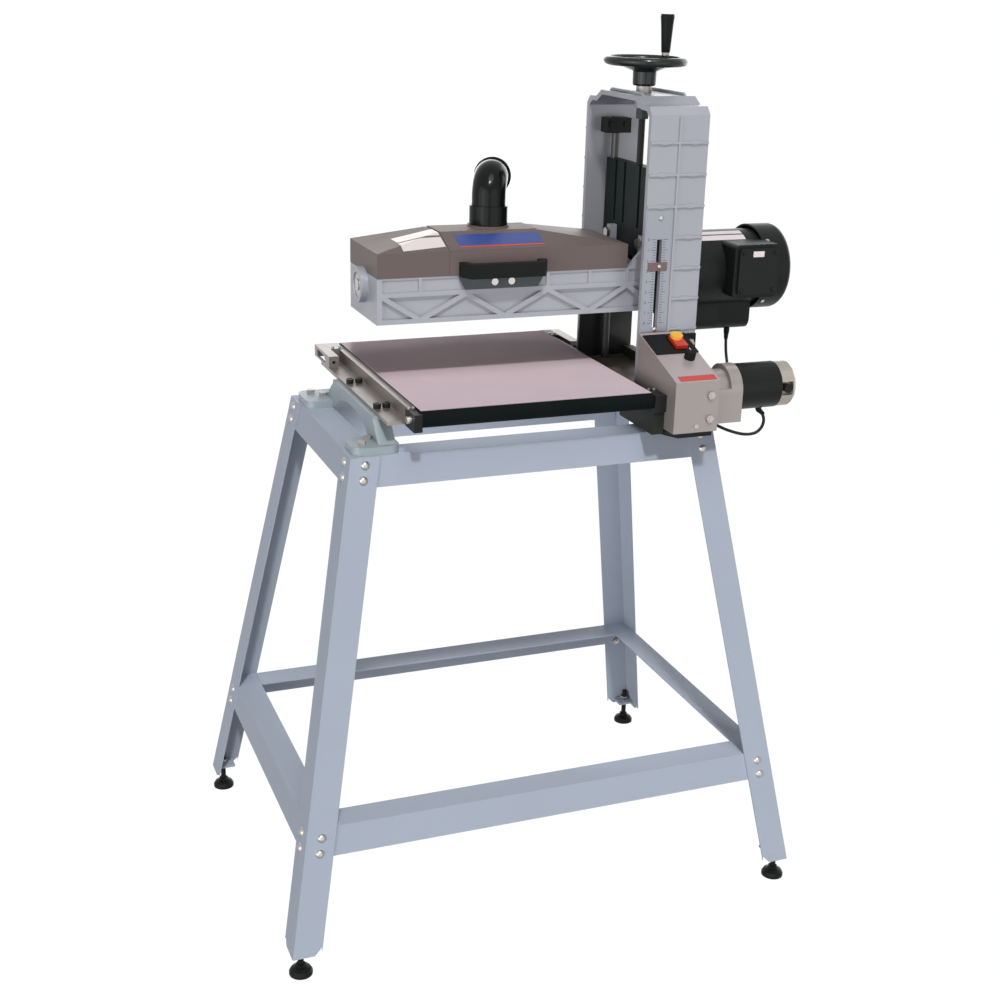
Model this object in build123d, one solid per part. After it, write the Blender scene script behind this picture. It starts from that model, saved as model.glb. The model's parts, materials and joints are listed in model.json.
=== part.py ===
from build123d import *
import math
import os

# Open-end drum thickness sander on a splayed steel stand. Millimetres, +X along the drum towards the
# column, -Y towards the operator, +Z up. X is drawn from the middle of the stand; ORIGIN_X then moves
# the origin to the floor under the middle of the whole machine, whose motors overhang on the right.

# ---------------------------------------------------------------- driving dimensions
STAND_TOP = 855.0              # height of the stand's top face
TOP_X, TOP_Y = 327.0, 198.0    # half sizes of the stand's top, over the legs
SPLAY = 0.179                  # outward lean of the legs, per mm of fall
SHEET = 3.0                    # stand sheet thickness
LEG_FLANGE_X, LEG_FLANGE_Y = 50.0, 56.0
LEG_BOTTOM = 40.0
RAIL_WEB = 50.0
BACK_RAIL_WEB = 100.0          # the upper back rail is deeper than the others
LOWER_RAIL_TOP = 255.0
FOOT_INSET = 18.0

BELT_TOP = 938.0               # working surface of the conveyor belt
BELT_X0, BELT_X1 = -223.2, 183.2
ROLLER_R = 12.7
BELT_T = 1.6
ROLLER_Y = 235.7               # front roller at -ROLLER_Y, rear roller at +ROLLER_Y
ROLLER_Z = BELT_TOP - BELT_T - ROLLER_R

DRUM_Z = 1095.0                # drum and motor axis, with the head at its upper stop
DRUM_R = 62.5
WRAP_T = 1.0
HEAD_Y = 79.0                  # half depth of the head casting
HEAD_X0, HEAD_X1 = -247.0, 246.0
HEAD_Z0, HEAD_Z1 = 1041.0, 1118.0
HEAD_WALL = 12.0
LID_X1 = 203.0
LID_Z1, LID_Z2 = 1159.0, 1181.0
LID_T = 2.0

COL_X0, COL_X1 = 209.0, 318.0  # the column's width
COL_IN, COL_OUT = 120.0, 129.5 # inner and outer faces of its two walls
RIB_H = 3.0
COL_FOOT = 863.0
BASE_TOP = 912.0
SCREW_X = 256.0
SCREW_R = 6.0
ROD_Y, ROD_R = 103.0, 7.0
FIT = 0.05                     # radial clearance of a running fit
M5, M6, M8, M10 = 2.5, 3.0, 4.0, 5.0   # radii of the screw shanks
UPRIGHT = (Align.CENTER, Align.CENTER, Align.MIN)   # a shape that stands on its local origin

MOTOR_X0 = 330.0
MOTOR_R = 69.0
MOTOR_END = 486.0

BOX_X0, BOX_X1 = 206.0, 288.0
BOX_BACK, BOX_FRONT = -135.0, -281.0
BOX_Z0, BOX_ZF, BOX_ZB = 875.0, 963.0, 1014.0
FEED_Y, FEED_Z = -218.0, 931.0 # feed motor axis
CORD_D = 5.5

ORIGIN_X = 32.6                # X of the finished origin, from the middle of the stand

PARTS = {}


# ---------------------------------------------------------------- shape helpers
def block(x0, x1, y0, y1, z0, z1):
    return Pos((x0 + x1) / 2, (y0 + y1) / 2, (z0 + z1) / 2) * Box(x1 - x0, y1 - y0, z1 - z0)


def along(axis):
    return {"x": Rot(0, 90, 0), "y": Rot(-90, 0, 0), "z": Rot(0, 0, 0)}[axis]


def rod(axis, a, b, radius, start, end):
    """Cylinder along an axis; a and b are the other two coordinates, in x, y, z order."""
    place = {"x": Pos(start, a, b), "y": Pos(a, start, b), "z": Pos(a, b, start)}[axis]
    return place * along(axis) * Cylinder(radius, end - start, align=UPRIGHT)


def ring(axis, a, b, outer, inner, start, end):
    return rod(axis, a, b, outer, start, end) - rod(axis, a, b, inner, start - 1, end + 1)


def hexagon(axis, a, b, radius, start, end):
    place = {"x": Pos(start, a, b), "y": Pos(a, start, b), "z": Pos(a, b, start)}[axis]
    return place * along(axis) * extrude(RegularPolygon(radius, 6), end - start)


def prism_x(points, x0, x1):
    """Polygon of (y, z) points, extruded from x0 to x1."""
    return Pos(x0, 0, 0) * extrude(Plane.YZ * Polygon(*points, align=None), x1 - x0, dir=(1, 0, 0))


def prism_y(points, y0, y1):
    """Polygon of (x, z) points, extruded from y0 to y1."""
    return Pos(0, y0, 0) * extrude(Plane.XZ * Polygon(*points, align=None), y1 - y0, dir=(0, 1, 0))


def prism_z(points, z0, z1):
    """Polygon of (x, y) points, extruded from z0 to z1."""
    return Pos(0, 0, z0) * extrude(Polygon(*points, align=None), z1 - z0, dir=(0, 0, 1))


def frustum(z0, low, z1, high):
    """Ruled solid between two rectangles (x0, x1, y0, y1)."""
    faces = []
    for z, (x0, x1, y0, y1) in ((z0, low), (z1, high)):
        faces.append(Pos((x0 + x1) / 2, (y0 + y1) / 2, z) * Rectangle(x1 - x0, y1 - y0))
    return loft(faces, ruled=True)


def four_corners(shape):
    """The shape and its mirror images in X and Y, named by corner; it is drawn at the front left."""
    right = mirror(shape, about=Plane.YZ)
    return {
        "front_left": shape,
        "front_right": right,
        "back_left": mirror(shape, about=Plane.XZ),
        "back_right": mirror(right, about=Plane.XZ),
    }


def node(name, *shapes):
    solids = [Pos(-ORIGIN_X, 0, 0) * s for shape in shapes for s in shape.solids()]
    PARTS[name] = solids[0] if len(solids) == 1 else Compound(children=solids)


def lean(z):
    """How far a leg's outer corner stands outside the top's corner at height z."""
    return SPLAY * (STAND_TOP - z)


# ---------------------------------------------------------------- stand
def leg():
    """Front left leg: two leaning flanges, with a foot tab between them."""
    def section(z, flange):
        x, y = -TOP_X - lean(z), -TOP_Y - lean(z)
        if flange == "front":
            return (x, x + LEG_FLANGE_X, y, y + SHEET)
        return (x, x + SHEET, y, y + LEG_FLANGE_Y)

    shape = None
    for flange in ("front", "side"):
        sheet = frustum(LEG_BOTTOM, section(LEG_BOTTOM, flange), STAND_TOP, section(STAND_TOP, flange))
        shape = sheet if shape is None else shape + sheet
    x, y = -TOP_X - lean(LEG_BOTTOM), -TOP_Y - lean(LEG_BOTTOM)
    cut = 14.0
    front_end, side_end = x + LEG_FLANGE_X + 1, y + LEG_FLANGE_Y + 1
    shape -= prism_y([(front_end - cut, 39), (front_end, 39), (front_end, 39 + cut)], y - 5, y + 10)
    shape -= prism_x([(side_end - cut, 39), (side_end, 39), (side_end, 39 + cut)], x - 5, x + 10)
    tab_z = 50.0
    foot_x, foot_y = foot_place()
    tab_x = -TOP_X - lean(tab_z) + SHEET
    tab_y = -TOP_Y - lean(tab_z) + SHEET
    tab = block(tab_x - 0.5, tab_x + 34, tab_y - 0.5, tab_y + 34, tab_z, tab_z + 4)
    return shape + tab - rod("z", foot_x, foot_y, M10 + FIT, 40, 90)


def foot_place():
    reach = lean(LEG_BOTTOM) - FOOT_INSET
    return -TOP_X - reach, -TOP_Y - reach


def foot():
    """Levelling foot: round pad, hexagon neck and threaded stem."""
    x, y = foot_place()
    profile = [(0, 0), (20, 0), (20, 5), (17, 10), (10, 13), (0, 13)]
    pad = revolve(Plane.XZ * Polygon(*profile, align=None), Axis.Z)
    neck = hexagon("z", 0, 0, 9.0, 13, 19)
    stem = rod("z", 0, 0, M10, 19, 74)
    return Pos(x, y, 0) * (pad + neck + stem)


def foot_nuts():
    x, y = foot_place()
    bore = rod("z", x, y, M10 + FIT, 30, 80)
    return [hexagon("z", x, y, 9.0, z, z + 7.5) - bore for z in (42.5, 54.0)]


def rail(top, half_x, half_y, flange, side, depth=RAIL_WEB):
    """One stand rail: a leaning web inside the legs, with a flat flange turned inwards.

    side is front or left; half_x and half_y are the outer corner at the rail's top, and depth is
    the height of the web.
    """
    thick = 2.5
    low = top - depth
    drop = SPLAY * depth

    def web(grow):
        if side == "front":
            y = -half_y - grow + SHEET
            end = half_x + grow - SHEET - thick - 1
            return (-end, end, y, y + thick)
        x = -half_x - grow + SHEET
        end = half_y + grow - SHEET - 0.2
        return (x, x + thick, -end, end)

    shape = frustum(low, web(drop), top, web(0))
    if side == "front":
        y = -half_y + SHEET
        shape += block(-half_x + flange[0] + 0.5, half_x - flange[0] - 0.5, y, y + flange[1],
                       top - thick, top)
    else:
        x = -half_x + SHEET
        end = half_y - SHEET - thick - 0.2
        shape += block(x, x + flange[0], -end, end, top - thick, top)
    return shape


def stand_bolts():
    """Dome bolts through each leg and rail, two on each flange, at both heights."""
    grip = SHEET + 2.5
    tilt = math.degrees(math.atan(SPLAY))
    dome = Pos(0, 0, 3.4) * Sphere(8.2) & Pos(0, 0, -10) * Box(20, 20, 20)
    bolt = dome + Cylinder(M8, grip + 9, align=UPRIGHT)
    nut = Pos(0, 0, grip) * extrude(RegularPolygon(7.5, 6), 6.5) - Cylinder(M8, 60)
    heads, shanks = [], []
    for z in (842.5, 818.5, 240.0, 214.0):
        x, y = -TOP_X - lean(z), -TOP_Y - lean(z)
        front = Pos(x + 26, y, z) * Rot(-90 - tilt, 0, 0)
        side = Pos(x, y + 30, z) * Rot(0, 90 + tilt, 0)
        for place in (front, side):
            heads += [place * bolt, place * nut]
            shanks.append(place * Pos(0, 0, -5) * Cylinder(M8, 30, align=UPRIGHT))
    return heads, shanks


def build_stand():
    heads, shanks = stand_bolts()

    def drilled(shape):
        for hole in shanks:
            for image in four_corners(hole).values():
                shape -= image
        return shape

    base_holes = [rod("z", x, y, M10, 840, 880) for x in BASE_BOLT_X for y in BASE_BOLT_Y]
    arch_holes = [rod("z", x, y, M8, 840, 880) for x, y in ARCH_BOLTS]
    node("stand_legs", *[drilled(shape) for shape in four_corners(leg()).values()])
    top = {
        "front": rail(STAND_TOP, TOP_X, TOP_Y, (53.0, 52.0), "front"),
        "left": rail(STAND_TOP, TOP_X, TOP_Y, (50.0, 52.0), "left"),
        "back": rail(STAND_TOP, TOP_X, TOP_Y, (53.0, 52.0), "front", BACK_RAIL_WEB),
    }
    reach = lean(LOWER_RAIL_TOP)
    low = {
        "front": rail(LOWER_RAIL_TOP, TOP_X + reach, TOP_Y + reach, (48.0, 52.0), "front"),
        "left": rail(LOWER_RAIL_TOP, TOP_X + reach, TOP_Y + reach, (45.0, 52.0), "left"),
    }
    low["back"] = low["front"]
    for level, rails in (("top", top), ("lower", low)):
        rails["back"] = mirror(rails["back"], about=Plane.XZ)
        rails["right"] = mirror(rails["left"], about=Plane.YZ)
        holes = base_holes + arch_holes if level == "top" else []
        shapes = []
        for shape in rails.values():
            for hole in holes:
                shape -= hole
            shapes.append(drilled(shape))
        node(f"{level}_rails", *shapes)
    fasteners = heads + foot_nuts()
    node("stand_fasteners", *[image for f in fasteners for image in four_corners(f).values()])
    for corner, shape in four_corners(foot()).items():
        node(f"foot_{corner}", shape)


# ---------------------------------------------------------------- base and left support
ARCH_BOLTS = [(-300, -170), (-284, -146), (-300, 160), (-284, 136)]
CLAMP_X = (-244.0, -260.0)
CLAMP_Y = (-122.0, 41.0)
ARCH_TOP = 908.0
ARCH_PAD_TOP = 869.0
BASE_BOLT_X, BASE_BOLT_Y = (240.0, 300.0), (-170.0, 170.0)
WALL_BOLT_X, WALL_BOLT_Z = (230.0, 296.0), 892.0
BRACKET_BOLT_X, BRACKET_BOLT_Z = 305.0, 992.0


def arch_bracket():
    """Cast bridge that carries the conveyor's outboard side."""
    side = [(-190, ARCH_PAD_TOP - 8), (-150, ARCH_TOP - 6), (-150, ARCH_TOP), (95, ARCH_TOP),
            (95, ARCH_TOP - 6), (150, ARCH_PAD_TOP - 8)]
    body = prism_x(side, -276, -246)
    opening = Pos(-300, -24, 858) * extrude(Plane.YZ * Ellipse(102, 34), 100)
    body -= opening
    body += block(-276, -234.5, -150, 95, ARCH_TOP - 8, ARCH_TOP)
    for x0, x1, y0, y1 in ((-320, -240, -192, -128), (-322, -246, 98, 176)):
        pad = extrude(RectangleRounded(x1 - x0, y1 - y0, 16), ARCH_PAD_TOP - STAND_TOP)
        body += Pos((x0 + x1) / 2, (y0 + y1) / 2, STAND_TOP) * pad
    for x, y in ARCH_BOLTS:
        body -= rod("z", x, y, M8, 840, 880)
    for x in CLAMP_X:
        for y in CLAMP_Y:
            body -= rod("z", x, y, M8, 880, 915)
    return body


def arch_bolts():
    out = []
    for x, y in ARCH_BOLTS:
        shank = rod("z", x, y, M8, 843, ARCH_PAD_TOP)
        head = hexagon("z", x, y, 7.5, ARCH_PAD_TOP, ARCH_PAD_TOP + 5.5)
        out.append(shank + head + hexagon("z", x, y, 7.5, 845.5, 852.5))
    return out


def base_casting():
    """Black cast base between the column walls, with arms under the control box and the conveyor."""
    body = prism_y([(212, STAND_TOP), (322, STAND_TOP), (320, BASE_TOP), (207, BASE_TOP)],
                   -COL_IN, COL_IN)
    body += block(300, 318, -112, 112, BASE_TOP, BASE_TOP + 18)
    for y0, y1 in ((-196, -COL_IN), (COL_IN, 196)):
        body += block(214, 320, y0, y1, STAND_TOP, COL_FOOT)
    arm = [(214, -120), (206.5, -133), (206.5, -240), (222, -268), (286, -268), (286, -130), (300, -120)]
    body += prism_z(arm, COL_FOOT, BOX_Z0)
    body += block(184.5, 205.5, -246, -COL_IN + 1, 866, 905)
    body -= block(208.9, 318.1, -COL_OUT - 3.1, -COL_IN, COL_FOOT, 960)
    body -= block(232, 290, -100, 100, STAND_TOP - 1, BASE_TOP - 10)
    for x in BASE_BOLT_X:
        for y in BASE_BOLT_Y:
            body -= rod("z", x, y, M10, 840, 870 if y < 0 else COL_FOOT + 1)
    for x in WALL_BOLT_X:
        body -= rod("y", x, WALL_BOLT_Z, M8, -COL_IN - 1, -COL_IN + 11)
        body -= rod("y", x, WALL_BOLT_Z, M8, COL_IN - 11, COL_IN + 1)
    return body


def base_bolts():
    out = []
    front, back = BASE_BOLT_Y
    for x in BASE_BOLT_X:
        for y, top in ((front, 870), (back, COL_FOOT)):
            out.append(rod("z", x, y, M10, 852.5, top) + hexagon("z", x, y, 9.5, 845.5, 852.5))
        out.append(hexagon("z", x, back, 9.5, COL_FOOT, COL_FOOT + 6))
    return out


# ---------------------------------------------------------------- column
CLAMP_SCREW_X, CLAMP_SCREW_Z = (242.5, 270.5), 1343.0


CLAMP_FACE = 92.0              # inner face of the guide rods' clamps


def arch_outline(offset_y, top_offset):
    y, t = COL_IN + offset_y, top_offset
    half = [(y, 1375 + t / 2), (y - 11, 1384 + t), (88 + t / 2, 1385 + t), (68 + t / 2, 1397 + t)]
    return [(y, COL_FOOT)] + half + [(-a, b) for a, b in reversed(half)] + [(-y, COL_FOOT)]


def column():
    """Cast inverted U: two ribbed walls joined by a crowned bridge."""
    wall = COL_OUT - COL_IN
    body = prism_x(arch_outline(wall, 8), COL_X0, COL_X1)
    inside = arch_outline(0, 0)
    inside[0], inside[-1] = (COL_IN, COL_FOOT - 1), (-COL_IN, COL_FOOT - 1)
    body -= prism_x(inside, COL_X0 - 1, COL_X1 + 1)
    heights = [1018 + 52.7 * k for k in range(7)]
    for sign in (-1, 1):
        y0, y1 = sorted((sign * (COL_OUT - 0.5), sign * (COL_OUT + RIB_H)))
        body += block(261, 265.5, y0, y1, 880, 1376)
        for z in heights:
            left = 264 if sign < 0 and z < 1226 else COL_X0 + 0.5
            body += block(left, COL_X1 - 0.5, y0, y1, z - 2, z + 2)
    body += rod("z", SCREW_X, 0, 14.0, 1380, 1400)
    body -= rod("z", SCREW_X, 0, SCREW_R + FIT, 1370, 1410)
    body -= block(232, 242, -140, -110, 1020, 1174)
    for x in WALL_BOLT_X:
        body -= rod("y", x, WALL_BOLT_Z, M8, -140, -110)
        body -= rod("y", x, WALL_BOLT_Z, M8, 110, 140)
    body -= rod("y", BRACKET_BOLT_X, BRACKET_BOLT_Z, M8, -140, -110)
    for sign in (-1, 1):
        for x in CLAMP_SCREW_X:
            body -= rod("y", x, CLAMP_SCREW_Z, M6, *sorted((sign * 110, sign * (COL_IN + 6))))
    return body


def column_bolts():
    """Base bolts through the walls, and the bolt of the control bracket."""
    out = []
    for x in WALL_BOLT_X:
        for sign in (-1, 1):
            shank = rod("y", x, WALL_BOLT_Z, M8, *sorted((sign * (COL_IN - 11), sign * COL_OUT)))
            head = rod("y", x, WALL_BOLT_Z, 6.5, *sorted((sign * COL_OUT, sign * (COL_OUT + 5))))
            out.append(shank + head)
    x, z = BRACKET_BOLT_X, BRACKET_BOLT_Z
    head = hexagon("y", x, z, 8.0, BOX_BACK - 6, BOX_BACK)
    nut = hexagon("y", x, z, 7.5, -COL_IN, -COL_IN + 6)
    out.append(rod("y", x, z, M8, BOX_BACK, -COL_IN + 8) + head + nut)
    return out


def build_column():
    """Column, scale plate and guide rods with their clamps; returns the clamps' screws."""
    node("column_casting", column())
    slot = block(232, 242, -140, -110, 1020, 1174)
    plate = block(211, 257.5, -COL_OUT - 1.2, -COL_OUT, 1014, 1222)
    node("scale_plate", plate - slot)
    rods, screws = [], []
    for s in (-1, 1):
        rods.append(rod("z", SCREW_X, s * ROD_Y, ROD_R, BASE_TOP, 1356))
        clamp = block(234, 281, *sorted((s * CLAMP_FACE, s * COL_IN)), 1328, 1354)
        clamp -= rod("z", SCREW_X, s * ROD_Y, ROD_R, 1320, 1360)
        for x in CLAMP_SCREW_X:
            shank = rod("y", x, CLAMP_SCREW_Z, M6, *sorted((s * CLAMP_FACE, s * (COL_IN + 6))))
            clamp -= shank
            head = rod("y", x, CLAMP_SCREW_Z, 5.0, *sorted((s * (CLAMP_FACE - 4), s * CLAMP_FACE)))
            screws.append(shank + head)
        rods.append(clamp)
    node("guide_rods", *rods)
    return screws


# ---------------------------------------------------------------- height crank
GRIP_RADIUS, GRIP_ANGLE = 65.5, math.radians(32)


def build_crank():
    screw = rod("z", SCREW_X, 0, SCREW_R, 1137, 1457)
    jam_nuts = [hexagon("z", SCREW_X, 0, 12.0, z, z + 9) for z in (1361.5, 1370.9)]
    node("height_screw", screw)
    hardware = [n - rod("z", SCREW_X, 0, SCREW_R, 1350, 1390) for n in jam_nuts]
    hardware.append(ring("z", SCREW_X, 0, 13.5, SCREW_R, 1405.1, 1417))
    top_nut = hexagon("z", SCREW_X, 0, 10.5, 1447, 1455) - rod("z", SCREW_X, 0, SCREW_R, 1440, 1460)
    hardware.append(top_nut)
    profile = [(SCREW_R, 1417), (18, 1417), (20.5, 1420), (21, 1440), (57, 1450.5), (62, 1452),
               (62, 1458), (55, 1457), (24, 1447), (SCREW_R, 1447)]
    wheel = revolve(Plane.XZ * Polygon(*profile, align=None), Axis.Z)
    wheel += Pos(0, 0, 1458) * Torus(66.0, 7.5)
    grip_x, grip_y = GRIP_RADIUS * math.cos(GRIP_ANGLE), GRIP_RADIUS * math.sin(GRIP_ANGLE)
    wheel -= rod("z", grip_x, grip_y, M8, 1440, 1470)
    node("handwheel", Pos(SCREW_X, 0, 0) * wheel)
    place = Pos(SCREW_X + grip_x, grip_y, 0)
    pin = rod("z", 0, 0, M8, 1452, 1528) + ring("z", 0, 0, 7.0, M8 - 0.1, 1465.5, 1470)
    node("crank_hardware", *hardware, place * pin)
    grip = [(M8 + FIT, 1470.3), (7.5, 1470.3), (8.0, 1474), (11.0, 1518), (12.2, 1529), (11.5, 1534),
            (0, 1534), (0, 1528.5), (M8 + FIT, 1528.5)]
    node("crank_grip", place * revolve(Plane.XZ * Polygon(*grip, align=None), Axis.Z))


# ---------------------------------------------------------------- conveyor
def racetrack(radius):
    """Stadium outline round both rollers, as a face in the YZ plane."""
    outline = Rectangle(2 * ROLLER_Y, 2 * radius)
    for sign in (-1, 1):
        outline += Pos(sign * ROLLER_Y, 0) * Circle(radius)
    return Pos(0, 0, ROLLER_Z) * (Plane.YZ * outline)


def build_conveyor():
    """Belt, bed, rollers and their supports; returns the screws that hold them."""
    inner = ROLLER_R + FIT
    belt = extrude(racetrack(ROLLER_R + BELT_T), BELT_X1 - BELT_X0)
    belt -= Pos(-1, 0, 0) * extrude(racetrack(inner), BELT_X1 - BELT_X0 + 2)
    node("conveyor_belt", Pos(BELT_X0, 0, 0) * belt)

    bed_top = ROLLER_Z + ROLLER_R
    bed = block(-224, 184.5, -212, 212, bed_top - 3, bed_top)
    for y in (-200, -70, 70, 197):
        bed += block(-224, 184.5, y, y + 3, bed_top - 22, bed_top - 3)
    node("conveyor_bed", bed)

    def roller(y):
        body = rod("x", y, ROLLER_Z, ROLLER_R, BELT_X0 + 0.7, BELT_X1 - 0.7)
        return body + rod("x", y, ROLLER_Z, 6.0, -246, 202)

    node("idler_roller", roller(ROLLER_Y))
    drive = roller(-ROLLER_Y) + rod("x", -ROLLER_Y, ROLLER_Z, 6.0, 200, 300)
    node("drive_roller", drive)

    left = block(-234, -224, -206, 206, 905, 934) + block(-268, -234, -206, 206, ARCH_TOP, 914)
    for x in CLAMP_X:
        for y in CLAMP_Y:
            left -= rod("z", x, y, M8, 900, 920)
    node("rail_left", left)
    right = block(184.5, 193, -206, 206, 905, 934) + block(193, 206, -206, 206, 905, 911)
    right -= block(200, 210, 118, 210, 900, 915)
    node("rail_right", right)

    clamps = []
    for x in CLAMP_X:
        for y in CLAMP_Y:
            head = rod("z", x, y, 6.5, 914, 922) - hexagon("z", x, y, 3.5, 918, 923)
            clamps.append(head + rod("z", x, y, M8, 888, 914))
    blocks, brackets = [], []
    for x0, x1, sign in ((-238, -224, -1), (-250, -224, 1), (184.5, 205, -1), (184.5, 205, 1)):
        housing = block(x0, x1, *sorted((sign * 206, sign * 252)), 906, 935)
        housing -= rod("x", sign * ROLLER_Y, ROLLER_Z, 6.0 + FIT, x0 - 1, x1 + 1)
        spacing = (x1 - x0) / 4
        for x in (x0 + spacing, x1 - spacing):
            grub = rod("z", x, sign * 214, M5, 931, 938)
            clamps.append(grub)
            housing -= grub
        blocks.append(housing)
    for x0, x1 in ((-268, -250.2), (205.2, 224)):
        bracket = block(x0, x1, 150, 252, 914, 935) - block(x0 + 3, x1 - 3, 170, 240, 913, 932)
        bracket -= block(x0 - 1, x1 + 1, 176, 234, 918, 930)
        middle = (x0 + x1) / 2
        adjuster = rod("y", middle, 924, M6, 166, 262) + hexagon("y", middle, 924, 5.5, 252, 257)
        bracket -= rod("y", middle, 924, M6, 150, 262)
        clamps.append(adjuster)
        brackets.append(bracket)
    node("roller_blocks", *blocks)
    node("take_up_brackets", *brackets)
    return clamps


# ---------------------------------------------------------------- control box and feed motor
def on_slope(y):
    """Height of the control box's sloping panel at y."""
    return BOX_ZF + (y - BOX_FRONT) / (BOX_BACK - BOX_FRONT) * (BOX_ZB - BOX_ZF)


SLOPE = math.degrees(math.atan2(BOX_ZB - BOX_ZF, BOX_BACK - BOX_FRONT))


def panel(x, y, lift=0.0):
    """Frame on the sloping panel: local +Z is the panel's outward normal, +Y runs up the slope."""
    return Pos(x, y, on_slope(y)) * Rot(SLOPE, 0, 0) * Pos(0, 0, lift)


SWITCH_X, SWITCH_Y = 262.0, -172.0
KNOB_X, KNOB_Y = 263.0, -215.0
KEY_OFFSET, KEY_STEM = 10.0, 5.0    # key's place up the paddle, and its stem's radius
BOX_SHEET = 2.0


def control_box():
    """Folded sheet box, open below; returns the box and the bolts on its front."""
    t = BOX_SHEET
    outer = [(BOX_BACK, BOX_Z0), (BOX_BACK, BOX_ZB), (BOX_FRONT, BOX_ZF), (BOX_FRONT, BOX_Z0)]
    inner = [(BOX_BACK - t, BOX_Z0 - 1), (BOX_BACK - t, BOX_ZB - t - 1.5),
             (BOX_FRONT + t, BOX_ZF - t - 0.5), (BOX_FRONT + t, BOX_Z0 - 1)]
    box = prism_x(outer, BOX_X0, BOX_X1) - prism_x(inner, BOX_X0 + t, BOX_X1 - t)
    box -= rod("x", -ROLLER_Y, ROLLER_Z, 9.0, BOX_X0 - 1, BOX_X1 + 1)
    box -= panel(SWITCH_X, SWITCH_Y) * Box(30, 44, 30)
    box -= panel(KNOB_X, KNOB_Y) * Cylinder(M6 + FIT, 20)
    bolts = []
    for z in (938.5, 898.0):
        shank = rod("y", 272, z, M6, BOX_FRONT - 6, BOX_FRONT + 5)
        box -= shank
        bolts.append(shank + hexagon("y", 272, z, 7.0, BOX_FRONT - 5, BOX_FRONT))
    shank = rod("y", 248, 886, M5, BOX_FRONT - 1, BOX_FRONT + 5)
    box -= shank
    bolts.append(shank + rod("y", 248, 886, 4.0, BOX_FRONT - 2, BOX_FRONT))
    return box, bolts


def build_controls():
    """Control box with its panel, switch and knob; returns the box's bolts."""
    box, bolts = control_box()
    node("control_box", box)
    bracket = block(280, 317, BOX_BACK, -COL_OUT, 955, 1008)
    bracket -= rod("y", BRACKET_BOLT_X, BRACKET_BOLT_Z, M8, -140, -110)
    node("control_bracket", bracket)

    at_switch, at_knob = panel(SWITCH_X, SWITCH_Y), panel(KNOB_X, KNOB_Y)
    plate = panel(248, SWITCH_Y) * Pos(0, 0, 1.0) * Box(80, 60, 2.0) - at_switch * Box(30, 44, 30)
    housing = at_switch * Pos(0, 0, -11) * (Box(30, 44, 22) - Pos(0, 0, 1.5) * Box(25, 39, 22))
    at_paddle = panel(SWITCH_X, SWITCH_Y, 4.0)
    lever = Box(22, 34, 7) + Pos(0, -4, -7) * Box(16, 12, 8)
    lever -= Pos(0, KEY_OFFSET, 0) * Cylinder(KEY_STEM + FIT, 20)
    node("switch_paddle", at_paddle * lever)
    key = Pos(0, KEY_OFFSET, 3.6) * Cylinder(11.0, 5, align=UPRIGHT)
    key += Pos(0, KEY_OFFSET, -8) * Cylinder(KEY_STEM, 12, align=UPRIGHT)
    node("safety_key", at_paddle * key)
    knob = Pos(0, 0, 0.4) * Cylinder(9.5, 15, align=UPRIGHT) - Pos(0, 7.5, 13) * Box(1.6, 6, 6)
    spindle = Pos(0, 0, -12) * Cylinder(M6, 13, align=UPRIGHT)
    node("speed_knob", at_knob * (knob + spindle))
    pot = Pos(0, 0, -16.5) * Cylinder(8.0, 10, align=UPRIGHT)
    pot -= Pos(0, 0, -15.5) * Cylinder(M6 + FIT, 14, align=UPRIGHT)
    node("control_panel", plate, housing, at_knob * pot)
    return bolts


def build_feed_drive():
    gear_x0, gear_x1, flange_x1 = BOX_X1, 324.0, 346.0
    body = rod("x", FEED_Y, FEED_Z, 42.0, gear_x0, flange_x1)
    body += block(gear_x0, flange_x1, FEED_Y - 42, FEED_Y + 12, 880, FEED_Z)
    pocket = ring("x", FEED_Y, FEED_Z, 43.0, 33.0, gear_x0 + 6, gear_x1)
    body -= pocket & block(gear_x0, gear_x1, FEED_Y - 50, FEED_Y + 50, FEED_Z + 8, FEED_Z + 50)
    body -= rod("x", -ROLLER_Y, ROLLER_Z, 6.0 + FIT, gear_x0 - 1, 302)
    node("feed_gearbox", body)
    can = rod("x", FEED_Y, FEED_Z, 40.0, flange_x1, 425)
    node("feed_motor", can)
    bell = rod("x", FEED_Y, FEED_Z, 39.0, 425, 455)
    bell = chamfer(bell.edges().filter_by(GeomType.CIRCLE).sort_by(Axis.X)[-1], 5)
    bell -= block(424, 447, FEED_Y - 45, FEED_Y - 28, FEED_Z - 12, FEED_Z + 12)
    bell -= block(424, 447, FEED_Y + 28, FEED_Y + 45, FEED_Z - 12, FEED_Z + 12)
    caps = [rod("y", 437, FEED_Z, 7.5, *sorted((FEED_Y + s * 40, FEED_Y + s * 28))) for s in (-1, 1)]
    node("feed_motor_end_bell", bell, *caps)
    gland_motor = rod("z", 405, FEED_Y + 1, 5.5, 886, 893) - rod("x", FEED_Y, FEED_Z, 40.0, 300, 450)
    gland_box = rod("x", -191, 882, 5.5, BOX_X1, BOX_X1 + 6)
    gland_mains = rod("x", -150, 892, 5.5, BOX_X1, BOX_X1 + 6)
    node("lead_glands", gland_motor, gland_box, gland_mains)


# routes of the two leads, free from gland to gland
FEED_LEAD = [(405, -217, 886), (414.7, -217, 877.3), (419.7, -216, 863.6), (415.8, -215, 849.1),
             (403, -213, 839.5), (377.5, -209, 839.8), (331, -203, 857.5), (294, -191, 882)]
MOTOR_LEAD = [(444, -20, 978.7), (444, -20, 955), (441, -34, 927), (437, -54, 905), (418, -85, 888),
              (384, -115, 880), (338, -137, 884), (294, -150, 892)]


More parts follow.
